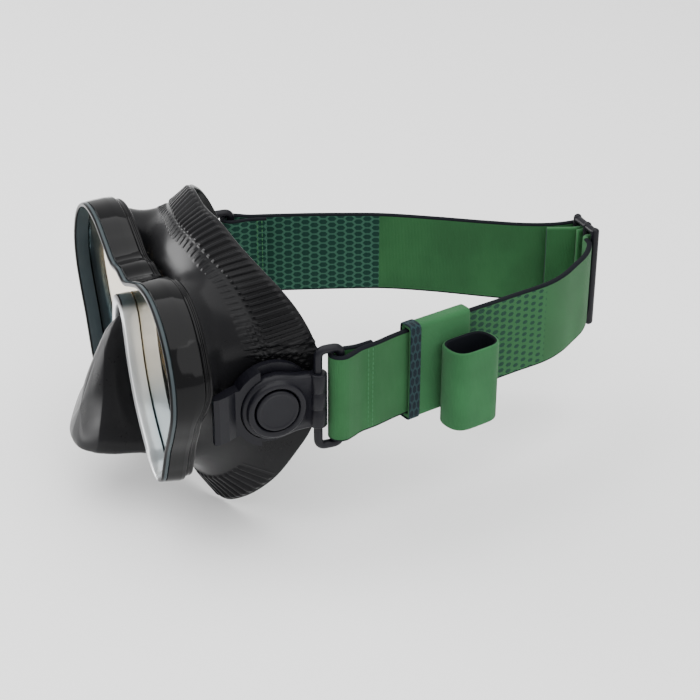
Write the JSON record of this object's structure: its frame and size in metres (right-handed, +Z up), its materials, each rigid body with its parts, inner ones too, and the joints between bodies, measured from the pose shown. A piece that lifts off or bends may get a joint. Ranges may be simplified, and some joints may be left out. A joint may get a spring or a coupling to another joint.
{
  "type": "diving mask",
  "caption": "Low-volume diving mask with a notched glass pane, black silicone skirt and nose pocket, swivel buckles, green padded strap and snorkel keeper.",
  "frame": {"origin": "middle of the skirt's rear opening, where the wearer's face holds the mask", "axes": "+Y back towards the strap, away from the glass; +X the wearer's left; +Z up"},
  "size_m": [0.1598, 0.2547, 0.1287],
  "materials": {
    "lens_glass": "clear tempered glass, polished",
    "bezel_silver": "bright silver-grey gloss",
    "frame_black": "polished black",
    "silicone_black": "satin black silicone",
    "buckle_black": "fine satin black",
    "pin_steel": "stainless, turned",
    "spring_steel": "stainless wire",
    "strap_green": "knit nylon faced neoprene, printed",
    "keeper_green": "knit nylon faced neoprene"
  },
  "bodies": {
    "mask": {"lens": "lens_glass", "front_bezel": "bezel_silver", "frame": "frame_black", "retaining_ring": "frame_black", "skirt": "silicone_black", "nose_pocket": "silicone_black", "buckle_base_left": "buckle_black", "buckle_base_right": "buckle_black", "buckle_pivot_left": "pin_steel", "buckle_pivot_right": "pin_steel"},
    "strap_loop": {"buckle_housing_left": "buckle_black", "buckle_housing_right": "buckle_black", "button_spring_left": "spring_steel", "button_spring_right": "spring_steel", "strap_left": "strap_green", "strap_right": "strap_green", "slider": "buckle_black"},
    "button_left": {"release_button_left": "buckle_black"},
    "button_right": {"release_button_right": "buckle_black"},
    "ring_left": {"strap_ring_left": "buckle_black"},
    "ring_right": {"strap_ring_right": "buckle_black"},
    "keeper": {"keeper_sleeve": "keeper_green", "keeper_tube": "keeper_green"}
  },
  "joints": [
    {"name": "strap_swing", "type": "hinge", "parent": "mask", "child": "strap_loop", "pos_m": [0, -0.0075, 0.001], "axis": [1, 0, 0], "range_deg": [-25, 25]},
    {"name": "button_left_press", "type": "slide", "parent": "strap_loop", "child": "button_left", "axis": [-1, 0, 0], "range_m": [0, 0.0015], "stiffness_N_per_m": 900, "springref_m": -0.001},
    {"name": "button_right_press", "type": "slide", "parent": "strap_loop", "child": "button_right", "axis": [1, 0, 0], "range_m": [0, 0.0015], "stiffness_N_per_m": 900, "springref_m": -0.001},
    {"name": "ring_left_flap", "type": "hinge", "parent": "strap_loop", "child": "ring_left", "pos_m": [0.0722, 0.0114, 0.001], "axis": [0, 0, 1], "range_deg": [-4, 4]},
    {"name": "ring_right_flap", "type": "hinge", "parent": "strap_loop", "child": "ring_right", "pos_m": [-0.0722, 0.0114, 0.001], "axis": [0, 0, 1], "range_deg": [-4, 4]},
    {"name": "keeper_slide", "type": "slide", "parent": "strap_loop", "child": "keeper", "axis": [-0.2446, 0.9696, 0], "range_m": [-0.003, 0.025]}
  ]
}
